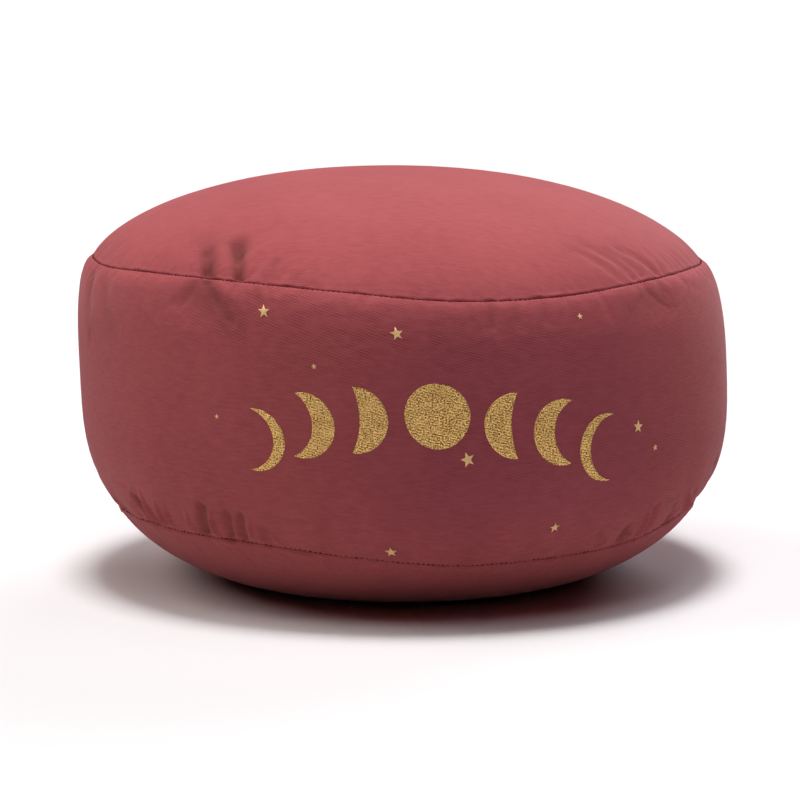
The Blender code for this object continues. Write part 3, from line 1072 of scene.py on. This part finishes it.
moon_points, moon_faces = [], []
for moon in MOONS:
    shape = moon_shape(moon)
    columns = LIMB_STEPS + 1
    for row, (across, up) in enumerate(shape):
        first = len(moon_points)
        moon_points.extend(on_band(moon.angle, moon.height, across, up))
        if row:
            for k in range(columns - 1):
                face = (first + k, first + k + 1, first + k + 1 - columns, first + k - columns)
                moon_faces.append(face if moon.lit_side > 0 else face[::-1])
moon_foil = press_foil("moon_foil", moon_points, moon_faces)

# %% Press the stars
STARS = table(
    "angle height size turn",
    (-113.2, 0.1555, 0.0032, 0.1),
    (-90.4, 0.1470, 0.0033, 0.2),
    (-79.6, 0.0866, 0.0036, 0.3),
    (-46.8, 0.0953, 0.0031, -0.1),
    (-92.7, 0.0390, 0.0032, 0.15),
    (-62.6, 0.0488, 0.0028, 0.1),
    (-57.5, 0.1512, 0.0018, 0.0),
    (-104.5, 0.1308, 0.0014, 0.3),
    (-122.8, 0.1033, 0.0014, 0.1),
    (-42.4, 0.0834, 0.0017, 0.2),
)
STAR_WAIST = 0.42
STAR_CORNERS = 10
corner = np.arange(STAR_CORNERS)
star_points, star_faces = [], []
for star in STARS:
    first = len(star_points)
    turn = star.turn + math.pi / 2 + corner * 2 * math.pi / STAR_CORNERS
    size = star.size * np.where(corner % 2, STAR_WAIST, 1.0)
    across, up = size * np.cos(turn), size * np.sin(turn)
    across, up = (np.concatenate([[0.0], value / 2, value]) for value in (across, up))
    star_points.extend(on_band(star.angle, star.height, across, up))
    for k in range(STAR_CORNERS):
        here, beside = first + 1 + k, first + 1 + (k + 1) % STAR_CORNERS
        star_faces.append((first, here, beside))
        star_faces.append((here, here + STAR_CORNERS, beside + STAR_CORNERS, beside))
star_foil = press_foil("star_foil", star_points, star_faces)

# %% [markdown]
# ## Effects that the finishes share
# Cotton twill is two sets of yarns; each warp yarn floats over three and dips under one, a step further
# along on each row, which draws the fine diagonal ribs. A tiled picture would do, but it repeats and ends
# at the seams. The weave is worked out from the place on the cut cloth, in metres, so its yarns are the
# same size on every piece. A node group holds it, as the cloth, the foil pressed on it and later finishes
# all need it.

# %% Helpers for all nodes
def feed(tree, node, sockets):
    """Links a socket into each named input of a node, or sets the input when the value is a plain one."""
    for name, value in sockets.items():
        if isinstance(value, bpy.types.NodeSocket):
            tree.links.new(value, node.inputs[name])
        elif value is not None:
            node.inputs[name].default_value = value


def add_node(tree, kind, sockets, **settings):
    node = tree.nodes.new("ShaderNode" + kind)
    for setting, value in settings.items():
        setattr(node, setting, value)
    feed(tree, node, sockets)
    return node


def new_group(name, inputs, outputs):
    """A shader group with vectors or numbers as its named inputs, and numbers as its outputs."""
    group = bpy.data.node_groups.new(name, "ShaderNodeTree")
    for socket_name, kind in inputs.items():
        group.interface.new_socket(socket_name, in_out="INPUT", socket_type="NodeSocket" + kind)
    for socket_name in outputs:
        group.interface.new_socket(socket_name, in_out="OUTPUT", socket_type="NodeSocketFloat")
    return group, group.nodes.new("NodeGroupInput").outputs, group.nodes.new("NodeGroupOutput")


# %% Helpers for one node each
def maths(tree, operation, *values):
    return add_node(tree, "Math", dict(enumerate(values)), operation=operation).outputs[0]


def times(tree, first, second):
    return maths(tree, "MULTIPLY", first, second)


def ranged(tree, value, low, high, to_low=0.0, to_high=1.0):
    """A value stretched from one range to another, and kept inside it."""
    sockets = {"Value": value, "From Min": low, "From Max": high, "To Min": to_low, "To Max": to_high}
    return add_node(tree, "MapRange", sockets).outputs["Result"]


def noise(tree, place, size, detail, roughness, stretch=None):
    """Noise with lumps of about a size in metres; a stretch under 1 makes them longer along an axis."""
    if stretch is not None:
        place = add_node(tree, "VectorMath", {0: place, 1: stretch}, operation="MULTIPLY").outputs[0]
    sockets = {"Vector": place, "Scale": 1.0 / size, "Detail": detail, "Roughness": roughness}
    return add_node(tree, "TexNoise", sockets).outputs["Fac"]


def blend(tree, share, first, second, mode="MIX"):
    """Two colours mixed by a share."""
    sockets = {"Factor": share, "A": first, "B": second}
    return add_node(tree, "Mix", sockets, data_type="RGBA", blend_type=mode).outputs["Result"]


# %% The twill weave
YARN = 0.00034
FLOATS = 4.0
RIB_SLOPE = 0.3
WOBBLE_SCALE = 170.0
WOBBLE = (0.0009, 0.0009, 0.0)
RIB_SHARE = 0.6
YARN_SHARE = 0.4
GAP_SHADE_RANGE = (0.12, 0.42)


def make_twill():
    """Ribs and yarns at a place on the cloth, whose yarns a smooth noise pushes a little out of line."""
    group, given, result = new_group(
        "twill_weave", {"Place": "Vector", "Yarn": "Float"}, ("Height", "Rib", "Gap_Shade")
    )
    wobble = add_node(group, "TexNoise", {"Vector": given["Place"], "Scale": WOBBLE_SCALE, "Detail": 1.0})
    sockets = {0: wobble.outputs["Color"], 1: WOBBLE, 2: given["Place"]}
    moved = add_node(group, "VectorMath", sockets, operation="MULTIPLY_ADD")
    parts = add_node(group, "SeparateXYZ", {0: moved.outputs[0]})
    warp, weft = (maths(group, "DIVIDE", parts.outputs[axis], given["Yarn"]) for axis in (0, 1))
    diagonal = times(group, maths(group, "MULTIPLY_ADD", warp, RIB_SLOPE, weft), 2 * math.pi / FLOATS)
    rib = maths(group, "MULTIPLY_ADD", maths(group, "COSINE", diagonal), 0.5, 0.5)
    across_warp, along_weft = (
        maths(group, "ABSOLUTE", maths(group, "SINE", times(group, yarn, math.pi))) for yarn in (warp, weft)
    )
    yarns = times(group, maths(group, "SQRT", along_weft), across_warp)
    height = maths(group, "ADD", times(group, rib, RIB_SHARE), times(group, yarns, YARN_SHARE))
    # The gap is painted shade: darker between the yarns, where the weave lies low.
    gap_shade = ranged(group, height, *GAP_SHADE_RANGE, 1.0, 0.0)
    feed(group, result, {"Height": height, "Rib": rib, "Gap_Shade": gap_shade})
    return group


twill = make_twill()

# %% [markdown]
# Dyed cotton is never one flat colour. It has broad clouds from the dye bath, a brushed nap that hides the
# ribs in some places more than in others, slubs where a yarn is thicker, and a scatter of lint. They could
# be painted by hand on one cushion. Noise of a few real sizes does it for any cloth, so this too is a group,
# which gives its parts apart from each other.

# %% The tone of dyed cloth
TONES = table(
    "part place size detail roughness stretch low high",
    ("Cloud", "Place", 0.055, 3.0, 0.55, None, 0.32, 0.68),
    ("Nap", "Place", 0.030, 2.0, 0.5, None, 0.42, 0.60),
    ("Mottle", "Grain", 0.0045, 2.0, 0.6, (0.6, 1.0, 1.0), 0.30, 0.70),
    ("Slub", "Grain", 0.0012, 2.0, 0.6, (0.16, 1.0, 1.0), 0.30, 0.70),
    ("Lint", "Grain", 0.0013, 1.0, 0.4, None, 0.80, 0.84),
    ("Fuzz", "Grain", 0.0005, 3.0, 0.7, None, 0.0, 1.0),
)


def make_tone():
    group, given, result = new_group(
        "dyed_cloth_tone", {"Place": "Vector", "Grain": "Vector"}, [row.part for row in TONES]
    )
    for row in TONES:
        lumps = noise(group, given[row.place], row.size, row.detail, row.roughness, row.stretch)
        feed(group, result, {row.part: ranged(group, lumps, row.low, row.high)})
    return group


tone = make_tone()

# %% [markdown]
# ## The finishes
# Brushed cotton scatters light back at grazing angles, as its fuzz stands up. That is what the shader's
# sheen is for; a paler colour towards the edges would be wrong from every other side. The sheen stays a
# constant on the shader, and colour, roughness and bump come from the groups. Two places in front differ
# from the rest: just under the top seam the cloth is pulled tight and its ribs show, with more painted
# shade between the yarns, and over the right half of the print the colour is darkened towards purple as
# painted shade.

# %% Helpers for materials
def new_material(name):
    material = bpy.data.materials.new(name)
    material.use_nodes = True
    return material, material.node_tree, material.node_tree.nodes["Principled BSDF"]


def use_group(tree, group, **sockets):
    return add_node(tree, "Group", sockets, node_tree=group).outputs


def place_on_object(tree):
    """The place on the object, in metres, and its parts along the three axes."""
    place = add_node(tree, "TexCoord", {}).outputs["Object"]
    return place, add_node(tree, "SeparateXYZ", {0: place}).outputs


def bump(tree, height, depth):
    return add_node(tree, "Bump", {"Distance": depth, "Height": height}).outputs["Normal"]


# %% The colours of the rose cloth
ROSE = (0.425, 0.084, 0.090, 1.0)
ROSE_DEEP = (0.300, 0.048, 0.056, 1.0)
ROSE_PALE = (0.520, 0.125, 0.130, 1.0)
# Painted shade between the yarns.
ROSE_GAP_SHADE = (0.230, 0.034, 0.042, 1.0)
# Painted shade for the deepest folds.
ROSE_CREASE_SHADE = (0.130, 0.030, 0.020, 1.0)
LINT = (0.60, 0.36, 0.34, 1.0)
ROSE_SHEEN = (1.0, 0.72, 0.72, 1.0)
# Painted shade: this tint darkens the right half of the front towards purple.
RIGHT_SHADE_TINT = (0.72, 0.70, 0.88, 1.0)

# %% Rose twill
BARE_BY_NAP = (0.0, 1.0, 0.65, 0.20)
BARE_BY_MOTTLE = (0.25, 0.75, 0.25, 1.0)
ROUGH_BY_RIB = (0.0, 1.0, 0.95, 0.80)
FUZZ_SHARE = 0.4
WEAVE_DEPTH = 0.00006
TAUT_HEIGHT = 0.150
TAUT_REACH = (0.010, 0.026)
TAUT_FRONT = (-0.150, -0.120)
TAUT_SHARE = 0.80
RIGHT_SHADE_SHARE = 0.65
RIGHT_SHADE_MIDDLE = 0.060
RIGHT_SHADE_SIDE = (0.045, 0.120)
RIGHT_SHADE_FOOT = (0.030, 0.058)
RIGHT_SHADE_TOP = (0.140, 0.166)
RIGHT_SHADE_BACK = (-0.120, -0.060)


def off_line(tree, value, line):
    """How far a value lies from a line, to either side."""
    return maths(tree, "ABSOLUTE", maths(tree, "SUBTRACT", value, line))


def make_rose():
    material, tree, shader = new_material("rose_twill_cloth")
    place, (x, y, z) = place_on_object(tree)
    grain = add_node(tree, "UVMap", {}, uv_map="grain").outputs["UV"]
    weave = use_group(tree, twill, Place=grain, Yarn=YARN)
    dyed = use_group(tree, tone, Place=place, Grain=grain)
    # Painted shade: darker where the cloth lies deep in a fold.
    crease = add_node(tree, "Attribute", {}, attribute_name="crease").outputs["Fac"]
    edge = ranged(tree, off_line(tree, z, TAUT_HEIGHT), *TAUT_REACH, 1.0, 0.0)
    taut = times(tree, edge, ranged(tree, y, *TAUT_FRONT, 1.0, 0.0))
    brushed = ranged(tree, dyed["Nap"], *BARE_BY_NAP)
    bare = maths(tree, "ADD", brushed, times(tree, taut, TAUT_SHARE))
    bare = times(tree, bare, ranged(tree, dyed["Mottle"], *BARE_BY_MOTTLE))
    colour = ROSE
    # The gap and crease layers below are painted shade.
    for mask, share, tint in (
        (dyed["Cloud"], 0.40, ROSE_DEEP),
        (dyed["Mottle"], 0.22, ROSE_DEEP),
        (dyed["Slub"], 0.40, ROSE_PALE),
        (times(tree, weave["Gap_Shade"], bare), 0.75, ROSE_GAP_SHADE),
        (crease, 0.75, ROSE_CREASE_SHADE),
        (dyed["Lint"], 0.35, LINT),
    ):
        colour = blend(tree, times(tree, mask, share), colour, tint)
    # Painted shade over the right half of the band's front, fading out to its sides, top, foot and back.
    right_shade = ranged(tree, off_line(tree, x, RIGHT_SHADE_MIDDLE), *RIGHT_SHADE_SIDE, RIGHT_SHADE_SHARE, 0.0)
    right_shade = times(tree, right_shade, ranged(tree, y, *RIGHT_SHADE_BACK, 1.0, 0.0))
    right_shade = times(tree, right_shade, ranged(tree, z, *RIGHT_SHADE_FOOT))
    right_shade = times(tree, right_shade, ranged(tree, z, *RIGHT_SHADE_TOP, 1.0, 0.0))
    ribbed = maths(tree, "MULTIPLY_ADD", dyed["Fuzz"], FUZZ_SHARE, times(tree, weave["Height"], bare))
    finish = {
        "Base Color": blend(tree, right_shade, colour, RIGHT_SHADE_TINT, "MULTIPLY"),
        "Roughness": ranged(tree, weave["Rib"], *ROUGH_BY_RIB),
        "Sheen Weight": 0.10,
        "Sheen Roughness": 0.45,
        "Sheen Tint": ROSE_SHEEN,
        "Specular IOR Level": 0.25,
        "Normal": bump(tree, ribbed, WEAVE_DEPTH),
    }
    feed(tree, shader, finish)
    return material


rose_cloth = make_rose()

# %% Wine thread
# Painted shade: the thread is darker than the cloth partly to stand for the shade in its needle pits.
WINE_AND_PIT_SHADE = (0.100, 0.010, 0.014, 1.0)
WINE_PALE = (0.200, 0.032, 0.036, 1.0)
PLY_SIZE = 0.0005
PLY_DEPTH = 0.00008
PALE_BY_PLY = (0.35, 0.7)
ROUGH_BY_PLY = (0.3, 0.7, 0.75, 0.60)


def make_thread():
    material, tree, shader = new_material("dark_thread_and_pit_shade")
    ply = noise(tree, place_on_object(tree)[0], PLY_SIZE, 2.0, 0.6)
    finish = {
        "Base Color": blend(tree, ranged(tree, ply, *PALE_BY_PLY), WINE_AND_PIT_SHADE, WINE_PALE),
        "Roughness": ranged(tree, ply, *ROUGH_BY_PLY),
        "Specular IOR Level": 0.15,
        "Normal": bump(tree, ply, PLY_DEPTH),
    }
    feed(tree, shader, finish)
    return material


thread = make_thread()

# %% [markdown]
# Pressed foil lies on the tops of the yarns and has worn off in the hollows between them, where the cloth
# under it shows, painted dark brown as cloth in shade. Hiding it there with transparency would leave holes
# in the film, so both are colours of one metal-to-dull mask. The foil of the moons is bright metal, speckled
# with wear and with paler gold painted in as glints. That of the stars is paler, hardly worn and less like a
# mirror, which also paints in the highlight they catch.

# %% Gold foil
GOLD = (1.00, 0.57, 0.16, 1.0)
GOLD_PAINTED_GLINT = (1.00, 0.74, 0.34, 1.0)
STAR_GOLD_AND_HIGHLIGHT = (1.00, 0.60, 0.28, 1.0)
# Painted shade: the colour where the foil is worn off, as cloth in shade.
BARE_FOIL_SHADE = (0.215, 0.085, 0.006, 1.0)
SPECK_SIZE = 0.00065
GLINT_SIZE = 0.00060
PATCH_SIZE = 0.006
PATCH_SHARE = 0.12
TOPS_SHARE = 0.10
WORN_RANGE = (0.490, 0.590)
GLINT_RANGE = (0.48, 0.58)
ROUGH_BY_WEAR = (0.0, 1.0, 0.35, 0.9)
FOIL_DEPTH = 0.0001


def make_foil(name, gold, wear, shine):
    material, tree, shader = new_material(name)
    x, _, z = place_on_object(tree)[1]
    flat = add_node(tree, "CombineXYZ", {0: x, 1: z}).outputs[0]
    weave = use_group(tree, twill, Place=flat, Yarn=YARN)
    speck = noise(tree, flat, SPECK_SIZE, 2.0, 0.7, (0.8, 1.2, 1.0))
    glint = noise(tree, flat, GLINT_SIZE, 1.0, 0.6, (0.8, 1.3, 1.0))
    patch = noise(tree, flat, PATCH_SIZE, 2.0, 0.5)
    worn = maths(tree, "ADD", speck, times(tree, patch, PATCH_SHARE))
    worn = maths(tree, "SUBTRACT", worn, times(tree, weave["Height"], TOPS_SHARE))
    bare = ranged(tree, worn, *WORN_RANGE, 0.0, wear)
    # Painted glints: paler gold speckles across the foil.
    golden = blend(tree, ranged(tree, glint, *GLINT_RANGE), gold, GOLD_PAINTED_GLINT)
    finish = {
        "Base Color": blend(tree, bare, golden, BARE_FOIL_SHADE),
        "Metallic": ranged(tree, bare, 0.0, 1.0, shine, 0.0),
        "Specular IOR Level": 0.1,
        "Roughness": ranged(tree, bare, *ROUGH_BY_WEAR),
        "Normal": bump(tree, maths(tree, "SUBTRACT", weave["Height"], bare), FOIL_DEPTH),
    }
    feed(tree, shader, finish)
    return material


moon_gold = make_foil("gold_foil", GOLD, 1.0, 0.70)
# The stars' paler, hardly worn and little mirrored gold is partly a painted highlight.
star_gold_and_highlight = make_foil("star_gold_and_painted_highlight", STAR_GOLD_AND_HIGHLIGHT, 0.10, 0.10)

# %% Dress the frame
for piece, material in (
    (band_cloth, rose_cloth),
    (crown_cloth, rose_cloth),
    (base_cloth, rose_cloth),
    (top_stitches, thread),
    (bottom_stitches, thread),
    (back_stitches, thread),
    (moon_foil, moon_gold),
    (star_foil, star_gold_and_highlight),
):
    piece.data.materials.append(material)
    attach(piece, "root")
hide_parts("filled_band")
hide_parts("top_panel")
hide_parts("bottom_panel")

# %% [markdown]
# ## The studio
# The photo's ground is pure white and has no horizon. A curved backdrop would do, but the camera looks down
# and only ever sees the floor, so a large white floor is enough. It is white to the camera and where the
# foil mirrors it, but greyer to soft light, so it throws less of that back on the band. That keeps the
# band as deep in tone as it should be against the lit top.

# %% The floor
FLOOR_SIZE = 16.0
FLOOR_WHITE = (0.86, 0.86, 0.86, 1.0)
FLOOR_BOUNCE = (0.62, 0.62, 0.62, 1.0)
half = FLOOR_SIZE / 2
corners = [(-half, -half, 0.0), (half, -half, 0.0), (half, half, 0.0), (-half, half, 0.0)]
floor = new_piece("studio_floor", corners, [(0, 1, 2, 3)])
floor_paint, tree, shader = new_material("studio_white")
feed(tree, shader, {"Base Color": FLOOR_WHITE, "Roughness": 1.0, "Specular IOR Level": 0.0})
bounce = add_node(tree, "BsdfDiffuse", {"Color": FLOOR_BOUNCE})
ray = add_node(tree, "LightPath", {})
sockets = {0: ray.outputs["Is Diffuse Ray"], 1: shader.outputs[0], 2: bounce.outputs[0]}
either = add_node(tree, "MixShader", sockets)
feed(tree, tree.nodes["Material Output"], {"Surface": either.outputs[0]})
floor.data.materials.append(floor_paint)

# %% The lights
SUNS = table(
    "name direction spread power colour",
    ("skylight", (0.0, 0.0, 1.0), 15.0, 2.15, (1.0, 0.99, 1.0)),
    ("light_behind", (0.5, 1.0, 0.6), 35.0, 1.19, (0.96, 0.94, 1.0)),
    ("light_left", (-1.0, 0.1, 1.0), 40.0, 0.98, (1.0, 0.94, 0.88)),
    ("light_in_front", (0.0, -0.4, 1.0), 30.0, 0.50, (1.0, 0.96, 1.0)),
)
SUN_PLACE = (0.0, 0.0, 2.0)
BOX_PLACE = (0.22, -0.02, 0.80)
BOX_AIM = (0.05, 0.0, 0.20)
BOX_SIZE = 0.4
BOX_POWER = 0.72
BOX_COLOUR = (1.0, 0.90, 0.90)


def hang_light(name, kind, place, direction, power, colour):
    """A lamp at a place, shining against a direction."""
    data = bpy.data.lights.new(name, kind)
    data.energy = power
    data.color = colour
    light = add_object(name, data)
    light.location = place
    light.rotation_euler = Vector(direction).to_track_quat("Z", "Y").to_euler()
    return data


for sun in SUNS:
    hung = hang_light(sun.name, "SUN", SUN_PLACE, sun.direction, sun.power, sun.colour)
    hung.angle = math.radians(sun.spread)
towards = Vector(BOX_PLACE) - Vector(BOX_AIM)
softbox = hang_light("softbox_near", "AREA", BOX_PLACE, towards, BOX_POWER, BOX_COLOUR)
softbox.shape = "DISK"
softbox.size = BOX_SIZE

# %% The air
world = bpy.data.worlds.new("studio_air")
world.use_nodes = True
background = world.node_tree.nodes["Background"]
feed(world.node_tree, background, {"Color": (1.0, 1.0, 1.0, 1.0), "Strength": 0.0})
bpy.context.scene.world = world
bpy.context.scene.view_settings.view_transform = "Standard"

# %% [markdown]
# ## The camera
# The camera's place was worked out from the photo: the seams are circles, and how far they flatten gives
# the angle it looks down at, while how much nearer things grow gives its distance. A long lens keeps the
# drum from bulging.

# %% Set up the camera
CAMERA_TARGET = (-0.00194, 0.0, 0.08793)
CAMERA_DISTANCE = 2.10663
CAMERA_ELEVATION = 0.16525
LENS = 185.0
SENSOR = 36.0
camera = add_object("camera", bpy.data.cameras.new("camera"))
camera.data.lens = LENS
camera.data.sensor_width = SENSOR
back = CAMERA_DISTANCE * math.cos(CAMERA_ELEVATION)
rise = CAMERA_DISTANCE * math.sin(CAMERA_ELEVATION)
camera.location = Vector(CAMERA_TARGET) + Vector((0.0, -back, rise))
camera.rotation_euler = (math.pi / 2 - CAMERA_ELEVATION, 0.0, 0.0)
bpy.context.scene.camera = camera
